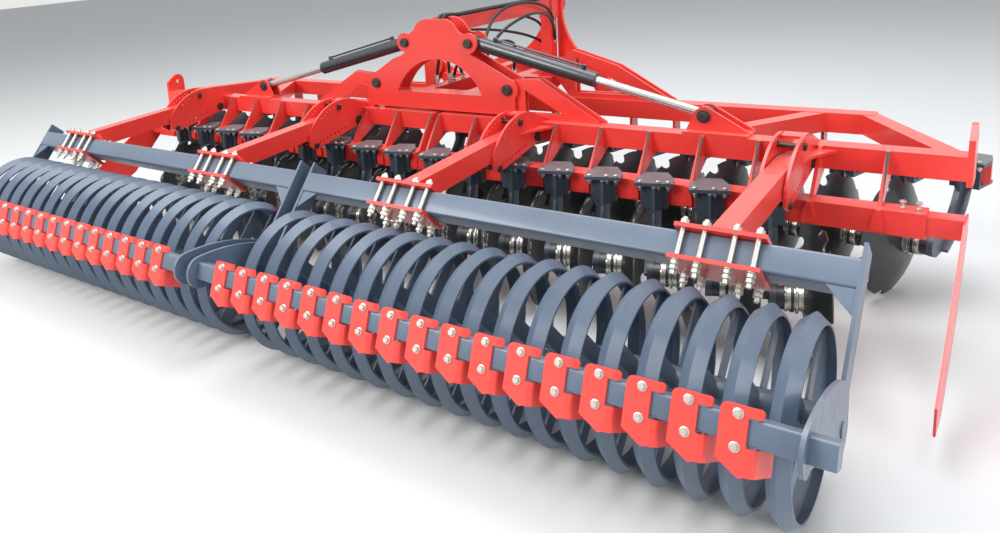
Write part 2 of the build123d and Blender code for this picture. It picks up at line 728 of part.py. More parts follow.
# Centre frame: two tower plates, cross boxes at the rear and front hinges, two long tubes and a top beam
rear_plate_front = cylinder_ahead - tower_front_gap / 2
front_plate_front = cylinder_ahead + tower_front_gap / 2 + tower_plate
crown_half = 62
cylinder_boss = 57
hinge_boss = 62
skirt_x = 507
diagonal = (hinge_x + 40, hinge_z + 48)
with BuildPart() as tower:
    for plate_front in (rear_plate_front, front_plate_front):
        with BuildSketch(facing(plate_front)):
            with BuildLine():
                Line((0, tower_top_z), (crown_half, tower_top_z))
                ThreePointArc((crown_half, tower_top_z), (112, 1328), (148, 1290))
                ThreePointArc((148, 1290), (170, 1265), (198, cylinder_pin_z + 51))
                ThreePointArc(
                    (198, cylinder_pin_z + 51),
                    (cylinder_pin_x + cylinder_boss * 0.93, cylinder_pin_z + cylinder_boss * 0.36),
                    (cylinder_pin_x + 22, cylinder_pin_z - 53),
                )
                Polyline(
                    (cylinder_pin_x + 22, cylinder_pin_z - 53),
                    (cylinder_pin_x + 6, cylinder_pin_z - 62),
                    diagonal,
                )
                ThreePointArc(diagonal, (hinge_x + hinge_boss, hinge_z), (skirt_x, hinge_z - 45))
                Polyline((skirt_x, hinge_z - 45), (skirt_x, cross_bottom_z), (0, cross_bottom_z), (0, tower_top_z))
            make_face()
            mirror(about=Plane.YZ)
            with BuildLine():
                Line((-299, cross_top_z), (299, cross_top_z))
                ThreePointArc((299, cross_top_z), (0, 1112), (-299, cross_top_z))
            make_face(mode=Mode.SUBTRACT)
        extrude(amount=tower_plate)
    box_ahead = (rear_plate_front - tower_plate, front_plate_front)
    bar((-cross_box_x, cross_box_x), box_ahead, (cross_bottom_z, cross_top_z))
    bar((-cross_box_x, cross_box_x), around(front_beam_ahead, tube), (cross_bottom_z, cross_top_z))
    for side in (-1, 1):
        bar(
            around(side * centre_tube_x, centre_tube_width),
            (box_ahead[1], centre_tube_front_ahead),
            (cross_bottom_z, cross_top_z),
        )
        with BuildSketch(facing(front_beam_ahead + 9)):
            with Locations((side * hinge_x, hinge_z)):
                Circle(hinge_boss_radius)
            with Locations((side * (cross_box_x - 60), (cross_bottom_z + cross_top_z) / 2)):
                Rectangle(100, cross_top_z - cross_bottom_z)
            make_hull()
        extrude(amount=18)
        for pin_x, pin_z, radius in ((hinge_x, hinge_z, 30), (cylinder_pin_x, cylinder_pin_z, 27)):
            round_bar(radius, side * pin_x, (rear_plate_front - tower_plate - 12, rear_plate_front - tower_plate), pin_z)
        round_bar(hinge_pin_radius, side * hinge_x, around(cylinder_ahead, 140), hinge_z)
        round_bar(hinge_pin_radius, side * hinge_x, around(front_beam_ahead, 80), hinge_z)
        round_bar(cylinder_pin_radius, side * cylinder_pin_x, around(cylinder_ahead, 150), cylinder_pin_z)
    with BuildSketch(across(-40)):
        with BuildLine():
            Polyline(
                (front_plate_front, 1335),
                (top_link_ahead - 160, 1328),
                (top_link_ahead - 160, 1248),
                (front_plate_front, 1255),
                close=True,
            )
        make_face()
    extrude(amount=80)
write(tower.part, "tower")

# Headstock: a pair of flared legs from the top link down to the lower link ears
with BuildPart() as headstock:
    for side in (-1, 1):
        leg = upright((0, top_link_ahead - 30), (side * cos(radians(20)), -sin(radians(20))))
        with BuildSketch(leg):
            with BuildLine():
                Line((30, 1325), (75, 1325))
                ThreePointArc((75, 1325), (170, 1010), (440, 900))
                Line((440, 900), (560, 700))
                Line((560, 700), (560, 560))
                Line((560, 560), (420, 560))
                ThreePointArc((420, 560), (300, 800), (30, 880))
                Line((30, 880), (30, 1325))
            make_face()
        extrude(amount=-side * 20)
        for end in (-1, 1):
            near = side * lower_link_half_span + end * lower_link_gap / 2
            with BuildSketch(across(near)):
                with Locations((lower_link_ahead, lower_link_z)):
                    Circle(ear_radius)
                with Locations((lower_link_ahead - 200, lower_link_z + 60)):
                    Rectangle(60, 220)
                make_hull()
            extrude(amount=end * ear_plate)
        bar(
            (side * (lower_link_half_span - 60), side * (lower_link_half_span + 47)),
            (lower_link_ahead - 230, lower_link_ahead - 170),
            (lower_link_z - 50, lower_link_z + 170),
        )
        with BuildSketch(across(side * top_link_gap / 2)):
            with Locations((top_link_ahead, top_link_z)):
                Circle(ear_radius)
            with Locations((top_link_ahead - 120, top_link_z - 20)):
                Rectangle(80, 150)
            make_hull()
        extrude(amount=side * ear_plate)
    bar((-cross_box_x, cross_box_x), (centre_tube_front_ahead, centre_tube_front_ahead + 80), (812, 912))
    bar((-40, 40), (top_link_ahead - 160, top_link_ahead - 80), (880, 1300))
    round_bar(link_bore_radius, (-700, 700), lower_link_ahead, lower_link_z, axis="x", mode=Mode.SUBTRACT)
    round_bar(link_bore_radius, (-700, 700), top_link_ahead, top_link_z, axis="x", mode=Mode.SUBTRACT)
write(headstock.part, "headstock")

# Folding cylinders, each drawn along X from its pin on the tower and then laid in place
pin_to_eye = hypot(lug_x - cylinder_pin_x, lug_z - cylinder_pin_z)
cylinder_drop = degrees(atan2(cylinder_pin_z - lug_z, lug_x - cylinder_pin_x))
with BuildPart() as barrel:
    with Locations((barrel_length / 2 + 25, 0, 0)):
        Cylinder(barrel_radius, barrel_length - 50, rotation=(0, 90, 0))
    Cylinder(eye_radius, eye_width, rotation=(90, 0, 0))
    with Locations((40, 0, 0)):
        Box(60, eye_width, 60)
    with Locations(((barrel_bottom + barrel_length) / 2, 0, 0)):
        Cylinder(
            barrel_radius - barrel_wall, barrel_length - barrel_bottom, rotation=(0, 90, 0), mode=Mode.SUBTRACT
        )
    gland = 45
    with Locations((barrel_length - gland / 2, 0, 0)):
        Cylinder(barrel_radius - 1, gland, rotation=(0, 90, 0))
        Cylinder(rod_radius + 0.05, gland + 2, rotation=(0, 90, 0), mode=Mode.SUBTRACT)
    ports = (barrel_bottom + 40, barrel_length - 80)
    for port_x in ports:
        with Locations((port_x, 0, barrel_radius + 8)):
            Cylinder(13, 24)
    with Locations((sum(ports) / 2, 0, barrel_radius + 12)):
        Cylinder(6, ports[1] - ports[0], rotation=(0, 90, 0))
    Cylinder(cylinder_pin_radius + pin_clearance, 200, rotation=(90, 0, 0), mode=Mode.SUBTRACT)

with BuildPart() as rod:
    piston_x = barrel_length - gland - piston_length - 15
    with Locations(((piston_x + pin_to_eye) / 2, 0, 0)):
        Cylinder(rod_radius, pin_to_eye - piston_x, rotation=(0, 90, 0))
    with Locations((piston_x + piston_length / 2, 0, 0)):
        Cylinder(barrel_radius - barrel_wall - 0.05, piston_length, rotation=(0, 90, 0))
    with Locations((pin_to_eye, 0, 0)):
        Cylinder(eye_radius, eye_width, rotation=(90, 0, 0))
        Cylinder(cylinder_pin_radius + 0.5, 200, rotation=(90, 0, 0), mode=Mode.SUBTRACT)

for name, side in (("left", -1), ("right", 1)):
    along = (side * cos(radians(cylinder_drop)), 0, -sin(radians(cylinder_drop)))
    origin = (side * cylinder_pin_x, roller_y + cylinder_ahead, cylinder_pin_z)
    place = Plane(origin=origin, x_dir=along, z_dir=(side * sin(radians(cylinder_drop)), 0, cos(radians(cylinder_drop))))
    for piece, kind in ((barrel, "barrel"), (rod, "rod")):
        with BuildPart(place) as laid:
            add(piece.part)
        write(laid.part, f"{kind}_{name}")

# Hoses along the top beam, over the tower's front plate and down between the plates
hose_radius = 10
with BuildPart() as hoses:
    for x in (-14, 14):
        with BuildLine() as route:
            FilletPolyline(
                (x, roller_y + top_link_ahead - 80, 1338.5),
                (x, roller_y + front_plate_front + 120, 1345.5),
                (x, roller_y + front_plate_front + 30, tower_top_z + hose_radius + 0.3),
                (x, roller_y + cylinder_ahead, tower_top_z + hose_radius + 0.3),
                (x, roller_y + cylinder_ahead, 1270),
                radius=40,
            )
        with BuildSketch(Plane(origin=route.line @ 0, z_dir=route.line % 0)):
            Circle(hose_radius)
        sweep(path=route.line)
write(hoses.part, "hoses")
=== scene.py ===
import json

import bpy
import numpy as np
from mathutils import Matrix, Vector


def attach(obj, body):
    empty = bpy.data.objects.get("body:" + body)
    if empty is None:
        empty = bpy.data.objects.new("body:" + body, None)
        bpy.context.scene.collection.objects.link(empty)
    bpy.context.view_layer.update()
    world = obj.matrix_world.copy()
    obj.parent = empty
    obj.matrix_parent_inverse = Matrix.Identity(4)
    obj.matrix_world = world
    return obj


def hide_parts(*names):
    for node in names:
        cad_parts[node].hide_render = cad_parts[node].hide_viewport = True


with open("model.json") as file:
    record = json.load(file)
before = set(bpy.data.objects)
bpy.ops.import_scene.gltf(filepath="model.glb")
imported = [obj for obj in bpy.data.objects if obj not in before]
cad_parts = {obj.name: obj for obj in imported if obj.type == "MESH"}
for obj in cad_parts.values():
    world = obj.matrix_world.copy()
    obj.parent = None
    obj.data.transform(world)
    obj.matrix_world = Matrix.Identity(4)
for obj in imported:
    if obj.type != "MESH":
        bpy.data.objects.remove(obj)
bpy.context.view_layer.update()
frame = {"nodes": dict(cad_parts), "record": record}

# Welded steelwork of the wings, the centre and the headstock, with the arms that carry the rollers.
# Square tube and plate, shot blasted and sprayed with a coral red two-pack paint that has a soft gloss.


def linear(hex_colour):
    """The scene's linear colour for a colour as it is seen, written as six hexadecimal digits."""
    seen = np.array([int(hex_colour[i : i + 2], 16) for i in (0, 2, 4)]) / 255
    low, high = seen / 12.92, ((seen + 0.055) / 1.055) ** 2.4
    return (*np.where(seen <= 0.04045, low, high), 1.0)


def put(tree, kind, settings=None, **sockets):
    """Adds a shader node. A socket's value is set, or linked where it is another node's output."""
    new = tree.nodes.new("ShaderNode" + kind)
    for name, value in (settings or {}).items():
        setattr(new, name, value)
    for name, value in sockets.items():
        socket = new.inputs[int(name[1:])] if name[1:].isdigit() else new.inputs[name.replace("_", " ")]
        if isinstance(value, bpy.types.NodeSocket):
            tree.links.new(value, socket)
        else:
            socket.default_value = value
    return new


def sprayed_steel(name, colour, shade, roughness, coat, grain=0.25, dust_and_sheen=0.0):
    """Paint on steel: two close shades that drift, fine orange peel, and level faces paler with dust and painted
    sky reflection.
    """
    material = bpy.data.materials.new(name)
    material.use_nodes = True
    tree = material.node_tree
    tree.nodes.clear()
    spot = put(tree, "TexCoord").outputs["Object"]
    drift = put(tree, "TexNoise", Vector=spot, Scale=2.2, Detail=4.0, Roughness=0.6).outputs["Fac"]
    smudge = put(tree, "TexNoise", Vector=spot, Scale=19.0, Detail=6.0, Roughness=0.65).outputs["Fac"]
    peel = put(tree, "TexNoise", Vector=spot, Scale=420.0, Detail=2.0).outputs["Fac"]
    level = put(tree, "SeparateXYZ", Vector=put(tree, "NewGeometry").outputs["Normal"]).outputs["Z"]
    patches = put(tree, "MapRange", Value=drift, From_Min=0.35, From_Max=0.65)
    base = put(tree, "Mix", {"data_type": "RGBA"}, Factor=patches.outputs["Result"])
    base.inputs[6].default_value = linear(colour)
    base.inputs[7].default_value = linear(shade)
    # Faces that point up are mixed toward a pale warm grey: partly dust, partly a painted reflection of the sky
    # on their tops.
    upward_dust_and_sheen = put(tree, "MapRange", Value=level, From_Min=0.55, From_Max=1.0, To_Max=dust_and_sheen)
    dust_and_sheen_mask = put(tree, "Math", {"operation": "MULTIPLY"}, _0=upward_dust_and_sheen.outputs["Result"], _1=smudge)
    dusted_and_sheened = put(tree, "Mix", {"data_type": "RGBA"}, Factor=dust_and_sheen_mask.outputs["Value"])
    tree.links.new(base.outputs[2], dusted_and_sheened.inputs[6])
    dusted_and_sheened.inputs[7].default_value = linear("B9B0A6")
    rough_range = {"To_Min": roughness - 0.05, "To_Max": roughness + 0.07}
    dull = put(tree, "MapRange", Value=smudge, From_Min=0.3, From_Max=0.7, **rough_range)
    bump = put(tree, "Bump", Height=peel, Strength=grain, Distance=0.0004)
    shader = put(
        tree,
        "BsdfPrincipled",
        Base_Color=dusted_and_sheened.outputs[2],
        Roughness=dull.outputs["Result"],
        Normal=bump.outputs["Normal"],
        Coat_Weight=coat,
        Coat_Roughness=0.12,
    )
    put(tree, "OutputMaterial", Surface=shader.outputs["BSDF"])
    return material


def finish_nodes(material, *starts):
    """Gives the material to every CAD node whose name begins with one of the words."""
    for name, node in frame["nodes"].items():
        if name.startswith(starts):
            node.data.materials.clear()
            node.data.materials.append(material)


coral = sprayed_steel("coral_paint", "EB3E36", "DE3830", 0.36, 0.35, dust_and_sheen=0.25)
finish_nodes(coral, "wing_frame", "tower", "headstock", "side_plate")

# Packer rollers, with the dark clamps and arms of the discs.
# Rolled rings in slate grey paint; the arms and clamps are cast and forged steel, painted darker.

slate = sprayed_steel("slate_paint", "5C6C80", "526174", 0.4, 0.25, dust_and_sheen=0.3)
finish_nodes(slate, "roller_left", "roller_right")
dark_slate = sprayed_steel("dark_slate_paint", "434D5A", "39424D", 0.42, 0.2, dust_and_sheen=0.35)
finish_nodes(dark_slate, "disc_arms")

# Scrapers, one in each gap of the rollers, of 8 mm sheet bent forward, in the coral paint made lighter as
# painted light.
# Two zinc bolts with washers hold each one, just above and below the square bar, which is turned 22 degrees.

sides = (("left", -1), ("right", 1))
roller_axle_y = -1.257
# The scrapers' coral is a lighter copy of the frames' paint: painted light on faces that turn toward the light.
lit_scraper_coral = sprayed_steel("scraper_coral_paint", "F4483E", "EE4239", 0.38, 0.3)


def turned(profile, count):
    """Radius times cosine and sine of the turn, with distance along Z, for each (radius, distance) pair."""
    radius, along = np.array(profile, float).T
    turn = np.arange(count) / count * 2 * np.pi
    ring = np.stack([np.cos(turn), np.sin(turn)], -1)[None] * radius[:, None, None]
    points = np.concatenate([ring, np.broadcast_to(along[:, None, None], (*ring.shape[:2], 1))], -1)
    row, step = np.meshgrid(np.arange(len(radius) - 1) * count, np.arange(count), indexing="ij")
    after = (step + 1) % count
    quads = np.stack([row + step, row + after, row + count + after, row + count + step], -1)
    last = (len(radius) - 1) * count
    caps = [list(range(count))[::-1], list(range(last, last + count))]
    return points.reshape(-1, 3), quads.reshape(-1, 4).tolist() + caps


def set_at(shape, spots, way):
    """Copies a shape to each spot, with its Z along one way, by turning it about the way's cross with Z."""
    points, faces = shape
    turn = np.array(Vector(way).to_track_quat("Z", "Y").to_matrix())
    spots = np.array(spots, float).reshape(-1, 3)
    moved = (points @ turn.T)[None] + spots[:, None]
    count = len(points)
    return moved.reshape(-1, 3), [[i + k * count for i in face] for k in range(len(spots)) for face in faces]


def with_parts(*shapes):
    """Puts several shapes into one."""
    points, faces, start = [], [], 0
    for shape_points, shape_faces in shapes:
        points.append(shape_points)
        faces += [[i + start for i in face] for face in shape_faces]
        start += len(shape_points)
    return np.concatenate(points), faces


def make_piece(name, shapes, material, body):
    """One mesh of several shapes, smooth at edges of under 35 degrees, that rides on a body."""
    points, faces = with_parts(*shapes)
    mesh = bpy.data.meshes.new(name)
    mesh.from_pydata(points, [], faces)
    mesh.polygons.foreach_set("use_smooth", np.ones(len(mesh.polygons), bool))
    mesh.set_sharp_from_angle(angle=np.radians(35))
    mesh.materials.append(material)
    piece = bpy.data.objects.new(name, mesh)
    bpy.context.scene.collection.objects.link(piece)
    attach(piece, body)
    return piece


def plated_steel(name, colour, roughness):
    """Plated or turned metal: cloudy spangle in its roughness and shade, and a faint grain."""
    material = bpy.data.materials.new(name)
    material.use_nodes = True
    tree = material.node_tree
    tree.nodes.clear()
    spot = put(tree, "TexCoord").outputs["Object"]
    cloud = put(tree, "TexNoise", Vector=spot, Scale=160.0, Detail=4.0).outputs["Fac"]
    tint = put(tree, "Mix", {"data_type": "RGBA"}, Factor=cloud)
    tint.inputs[6].default_value = linear(colour)
    tint.inputs[7].default_value = linear("A9A79F")
    rough = put(tree, "MapRange", Value=cloud, To_Min=roughness - 0.06, To_Max=roughness + 0.1)
    bump = put(tree, "Bump", Height=cloud, Strength=0.15, Distance=0.0003)
    shader = put(
        tree,
        "BsdfPrincipled",
        Base_Color=tint.outputs[2],
        Metallic=0.85,
        Roughness=rough.outputs["Result"],
        Normal=bump.outputs["Normal"],
    )
    put(tree, "OutputMaterial", Surface=shader.outputs["BSDF"])
    return material


def bent_sheet(patches, thickness, middle):
    """A sheet between its rear face and one a thickness before it, from patches that meet at shared points.
    A patch is (start, radius and angle of its bend, columns), and a column is (flat place s, heights).
    A place lies at x = s, y = 0 up to the bend. From there its way along is (cos t, sin t), where the angle t
    grows by ds / radius to the bend's end."""
    points, faces, known, edges = [], [], {}, {}
    for bend_start, bend_radius, bend_end, columns in patches:
        grid = []
        for s, heights in columns:
            turn = np.clip((s - bend_start) / bend_radius, 0, bend_end)
            run = max(0.0, s - bend_start - bend_radius * bend_end)
            x = min(s, bend_start) + bend_radius * np.sin(turn) + run * np.cos(turn)
            y = bend_radius * (1 - np.cos(turn)) + run * np.sin(turn)
            line = []
            for z in heights:
                key = (round(s, 5), round(float(z), 5))
                if key not in known:
                    known[key] = len(points)
                    points.append((middle + x, y, z))
                    points.append((middle + x - thickness * np.sin(turn), y + thickness * np.cos(turn), z))
                line.append(known[key])
            grid.append(line)
        for left, right in zip(grid, grid[1:]):
            for k in range(len(left) - 1):
                loop = (left[k], right[k], right[k + 1], left[k + 1])
                faces += [loop, tuple(i + 1 for i in loop[::-1])]
                for pair in zip(loop, loop[1:] + loop[:1]):
                    edges[pair] = edges.pop(pair[::-1]) + 1 if pair[::-1] in edges else 1
    # An edge that one face alone uses is on the sheet's rim, which joins both sides.
    faces += [(b, a, a + 1, b + 1) for (a, b), uses in edges.items() if uses == 1]
    return np.array(points, float), [list(face) for face in faces]


def scraper(middle):
    """One scraper: a flat face behind the bar, a tab curling forward over it, a wing bent forward below it.
    Heights are measured along the face from the bar's middle, and places from the gap's middle. Each lower
    edge falls by 0.4 of its run."""
    left, tip, notch, tab_end, wing_slope, wing_end = -0.045, 0.015, 0.025, 0.064, 0.105, 0.138
    top, corner, bar_high, bar_low = 0.064, 0.018, 0.038, -0.038
    row, left_low, wing_low, tip_low, fall = -0.068, -0.079, -0.109, -0.115, 0.4

    def upper(s):
        return top - corner + np.sqrt(max(0.0, corner**2 - min(0.0, s - left - corner) ** 2))

    def lower(s):
        slope = left_low + (s - left) * (tip_low - left_low) / (tip - left)
        return slope if s < tip else min(wing_low, tip_low + (s - tip) * fall)

    corner_places = left + corner * (1 - np.cos(np.linspace(0, np.pi / 2, 7)))
    face_places = (*corner_places, -0.01, tip, notch)
    face = [(s, (lower(s), row, bar_low, 0.0, bar_high, upper(s))) for s in face_places]
    end_rounding = (0,) * 10 + (0.002, 0.007)
    tab = [(s, (bar_high, top - drop)) for s, drop in zip(np.linspace(notch, tab_end, 12), end_rounding)]
    wing_places = (*np.linspace(notch, 0.062, 13), 0.09, wing_slope, 0.12, wing_end)
    wing = [(s, (lower(s), row, bar_low - max(0.0, s - wing_slope) * fall)) for s in wing_places]
    patches = (
        (0.032, 0.001, 0.0, face),
        (0.032, 0.036, np.radians(48), tab),
        (0.030, 0.024, np.radians(74), wing),
    )
    return bent_sheet(patches, scraper_sheet, middle)


zinc = plated_steel("zinc_plate", "E3E3DD", 0.34)
scraper_bolt = with_parts(
    turned([(0.014, 0), (0.014, 0.0025), (0.0132, 0.003)], 24),
    turned([(0.0112, 0.003), (0.0112, 0.011), (0.0095, 0.0135)], 6),
    turned([(0.0055, -0.012), (0.0055, 0.001)], 16),
)
ring_pitch, first_gap, gap_count = 0.125, 0.2125, 17
bar_half, scraper_sheet = 0.035, 0.008
bar_at, bar_turn = (-0.419, 0.503), np.radians(22)
scraper_face, bolt_reach = bar_half + scraper_sheet, 0.042


def leaned(points, middle, turn):
    """Points (x, back, up) about a tube's middle, in the frame. back and up turn with it, its top forward.
    ahead = a - back cos t + up sin t and z = b + back sin t + up cos t, for a middle (a, b)."""
    x, back, up = np.array(points, float).reshape(-1, 3).T
    ahead = middle[0] - back * np.cos(turn) + up * np.sin(turn)
    height = middle[1] + back * np.sin(turn) + up * np.cos(turn)
    return np.stack([x, roller_axle_y + ahead, height], -1)


for side, sign in sides:
    gaps = sign * (first_gap + np.arange(gap_count) * ring_pitch)
    sheets = []
    for points, faces in map(scraper, gaps):
        behind = points * (1, -1, 1) + (0, scraper_face, 0)
        sheets.append((leaned(behind, bar_at, bar_turn), faces))
    scrapers = make_piece(f"bent_scrapers_{side}", sheets, lit_scraper_coral, f"packer_{side}")
    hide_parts(f"scrapers_{side}")
    heads = [(x, scraper_face, up) for x in gaps for up in (-bolt_reach, bolt_reach)]
    spots = leaned(heads, bar_at, bar_turn)
    bolts = set_at(scraper_bolt, spots, (0, -np.cos(bar_turn), np.sin(bar_turn)))
    make_piece(f"scraper_bolts_{side}", [bolts], zinc, f"packer_{side}")

# Roller frames: a beam turned 42 degrees, square to the sloping end plates, and the scraper bar.
# Rolled tube with rounded edges and 12 mm plate in slate paint, with a bearing on the inside of each plate.


def rounded(outline, radius, steps=5):
    """An outline with each corner rounded: points on the arc that touches both sides at a radius."""
    outline = np.array(outline, float)
    points = []
    for before, corner, after in zip(np.roll(outline, 1, 0), outline, np.roll(outline, -1, 0)):
        to_before, to_after = (v / np.linalg.norm(v) for v in (before - corner, after - corner))
        half = np.arccos(np.clip(to_before @ to_after, -1, 1)) / 2
        centre_way = (to_before + to_after) / np.linalg.norm(to_before + to_after)
        centre = corner + centre_way * radius / np.sin(half)
        start = corner + to_before * radius / np.tan(half) - centre
        end = corner + to_after * radius / np.tan(half) - centre
        for t in np.linspace(0, 1, steps):
            ray = start * (1 - t) + end * t
            points.append(centre + ray / np.linalg.norm(ray) * radius)
    return np.array(points)


def slab(outline, low, high, place):
    """A closed outline carried straight from low to high. place gives the point for a spot on it and a distance.
    The faces are turned over where the volume, the sum of a . (b x c) / 6 over the triangles, is negative."""
    count = len(outline)
    points = np.array([place(flat, across) for across in (low, high) for flat in outline], float)
    faces = [list(range(count))[::-1], list(range(count, 2 * count))]
    faces += [[i, (i + 1) % count, (i + 1) % count + count, i + count] for i in range(count)]
    triangles = [(face[0], b, c) for face in faces for b, c in zip(face[1:-1], face[2:])]
    volume = sum(points[a] @ np.cross(points[b], points[c]) for a, b, c in triangles)
    return points, faces if volume > 0 else [face[::-1] for face in faces]


def arc(start, through, end, steps=10):
    """Points on the circle through three points, without its end. Its centre c is as far from all three:
    2 (p - start) . c = |p|^2 - |start|^2 for the other two points p."""
    first, *others = spots = np.array([start, through, end])
    rows = 2 * (np.array(others) - first)
    centre = np.linalg.solve(rows, [other @ other - first @ first for other in others])
    angles = [np.arctan2(y, x) for x, y in spots - centre]
    sweep = (angles[2] - angles[0]) % (2 * np.pi)
    if (angles[1] - angles[0]) % (2 * np.pi) > sweep:
        sweep -= 2 * np.pi
    turns = angles[0] + sweep * np.arange(steps) / steps
    radius = np.linalg.norm(first - centre)
    return [tuple(centre + radius * np.array([np.cos(t), np.sin(t)])) for t in turns]


def upright(flat, x):
    """A flat place (ahead, height) at a distance x."""
    return (x, roller_axle_y + flat[0], flat[1])


beam_at, beam_turn, beam_half = (0.277, 0.678), np.radians(42), 0.050
inner_x, outer_x, frame_plate, bar_poke = 0.038, 2.375, 0.012, 0.065
end_gusset, end_gusset_back = ((0, -0.05), (0.085, -0.05), (0, -0.135)), (0.036, 0.046)
axle_z = 0.320


def on_beam(flat, x):
    """A flat place (back, up) from the beam's middle, at a distance x."""
    return leaned([(x, *flat)], beam_at, beam_turn)[0]


def on_bar(flat, x):
    """A flat place (back, up) from the scraper bar's middle, at a distance x."""
    return leaned([(x, *flat)], bar_at, bar_turn)[0]


def beside_beam(flat, back):
    """A flat place (x, up) from the beam's middle, at a distance back."""
    return on_beam((back, flat[1]), flat[0])


def square(half):
    """The corners of a square about the middle, from half its side."""
    return [(-half, -half), (half, -half), (half, half), (-half, half)]


beam_plate = ((beam_half, -0.33), (beam_half, 0.102), (-beam_half, 0.102))
plate_outline = [tuple(on_beam(flat, 0)[1:] - (roller_axle_y, 0)) for flat in beam_plate]
plate_outline.append((0.0945, 0.400))
for ends in (
    ((0.095, 0.275), (0.0, 0.215), (-0.095, 0.275)),
    ((-0.095, 0.275), (-0.240, 0.360), (-0.405, 0.435)),
    ((-0.405, 0.435), (-0.497, 0.483), (-0.445, 0.568)),
    ((-0.445, 0.568), (-0.190, 0.545), (0.019, 0.470)),
):
    plate_outline += arc(*ends)
bearing = with_parts(
    turned([(0.074, 0), (0.074, 0.010), (0.072, 0.012), (0.026, 0.012)], 40),
    turned([(0.060, 0.012), (0.060, 0.030), (0.058, 0.032), (0.026, 0.032)], 40),
)
for side, sign in sides:
    beam_x = (sign * (inner_x + frame_plate), sign * (outer_x - frame_plate))
    bar_x = (sign * (inner_x + 0.002), sign * (outer_x + bar_poke))
    shapes = [
        slab(rounded(square(beam_half), 0.010), *beam_x, on_beam),
        slab(rounded(square(bar_half), 0.008), *bar_x, on_bar),
    ]
    for plate_x, inward in ((inner_x, 1), (outer_x, -1)):
        face_x = plate_x + inward * frame_plate
        gusset = [(sign * (face_x + inward * reach), up) for reach, up in end_gusset]
        shapes.append(slab(plate_outline, sign * plate_x, sign * face_x, upright))
        shapes.append(set_at(bearing, [(sign * face_x, roller_axle_y, axle_z)], (sign * inward, 0, 0)))
        shapes.append(slab(gusset, *end_gusset_back, beside_beam))
    roller_frame = make_piece(f"turned_frame_{side}", shapes, slate, f"packer_{side}")
    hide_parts(f"roller_frame_{side}")

# Roller arms: a box tube that comes down from each bracket on a wing, square on the turned beam.
# Its foot is two 15 mm plates clamped on the beam, the upper one with a gusset on each side, in coral paint.

arm_profile = [
    (1.345, 0.692), (0.905, 0.693), (0.3875, 0.6655), (0.281, 0.7645),
    (0.905, 0.793), (1.150, 0.800), (1.345, 0.772),
]
arm_profile += arc((1.345, 0.772), (1.385, 0.732), (1.345, 0.692), 16)[1:]
arm_x, arm_half = (0.625, 1.950), 0.040
foot_half, foot_plate, foot_gap = 0.150, 0.015, 0.0005
foot_outline = ((-0.088, 0), (0.084, 0), (0.084, foot_plate), (-0.088, foot_plate))
arm_gusset = ((arm_half, foot_plate), (0.132, foot_plate), (0.132, 0.020), (arm_half, 0.062))
arm_gusset_back = (-0.024, -0.012)
for side, sign in sides:
    shapes = []
    for middle in (sign * x for x in arm_x):
        shapes.append(slab(arm_profile, middle - arm_half, middle + arm_half, upright))
        for low in (beam_half + foot_gap, -beam_half - foot_plate - foot_gap):
            level = [(back, low + rise) for back, rise in foot_outline]
            shapes.append(slab(level, middle - foot_half, middle + foot_half, on_beam))
        for turn in (-1, 1):
            gusset = [(middle + turn * reach, beam_half + up) for reach, up in arm_gusset]
            shapes.append(slab(gusset, *arm_gusset_back, beside_beam))
    arms = make_piece(f"sloping_arms_{side}", shapes, coral, f"packer_{side}")
    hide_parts(f"roller_arms_{side}")

# Clamping rods at the feet of the roller arms: zinc rods through the plates above and below the beam.
# Four stand behind the beam and four before it, each with a washer and nut on top and two nuts below.


def nut(corner, low, high):
    """A six-sided nut between two heights, chamfered at both faces."""
    face, chamfer = corner * 0.86, 0.002
    return turned([(face, low), (corner, low + chamfer), (corner, high - chamfer), (face, high)], 6)


rod_low, under_plate, top_plate, rod_top = -0.120, -0.0660, 0.0655, 0.0935
clamping_rod = with_parts(
    turned([(0.007, rod_low), (0.009, rod_low + 0.002), (0.009, rod_top - 0.002), (0.007, rod_top)], 20),
    turned([(0.0175, under_plate - 0.003), (0.0175, under_plate)], 24),
    nut(0.0155, under_plate - 0.019, under_plate - 0.003),
    nut(0.0155, under_plate - 0.037, under_plate - 0.021),
    turned([(0.0175, top_plate), (0.0175, top_plate + 0.003)], 24),
    nut(0.0155, top_plate + 0.003, top_plate + 0.019),
)
rod_back = beam_half + 0.015
along_rods = (0, np.sin(beam_turn), np.cos(beam_turn))
rod_rows = ((rod_back, (-0.122, -0.049, 0.049, 0.122)), (-rod_back, (-0.122, -0.062, 0.062, 0.122)))
for side, sign in sides:
    rods = []
    for back, gaps in rod_rows:
        spots = leaned([(sign * x + gap, back, 0) for x in arm_x for gap in gaps], beam_at, beam_turn)
        rods.append(set_at(clamping_rod, spots, along_rods))
    make_piece(f"foot_rods_{side}", rods, zinc, f"packer_{side}")

# Bolts of the disc clamps: three at the rear edge of each top plate, each with a washer and nut below it.
# Each clamp is turned with its arm, 17 degrees one way in the rear row and the other way in the front row.

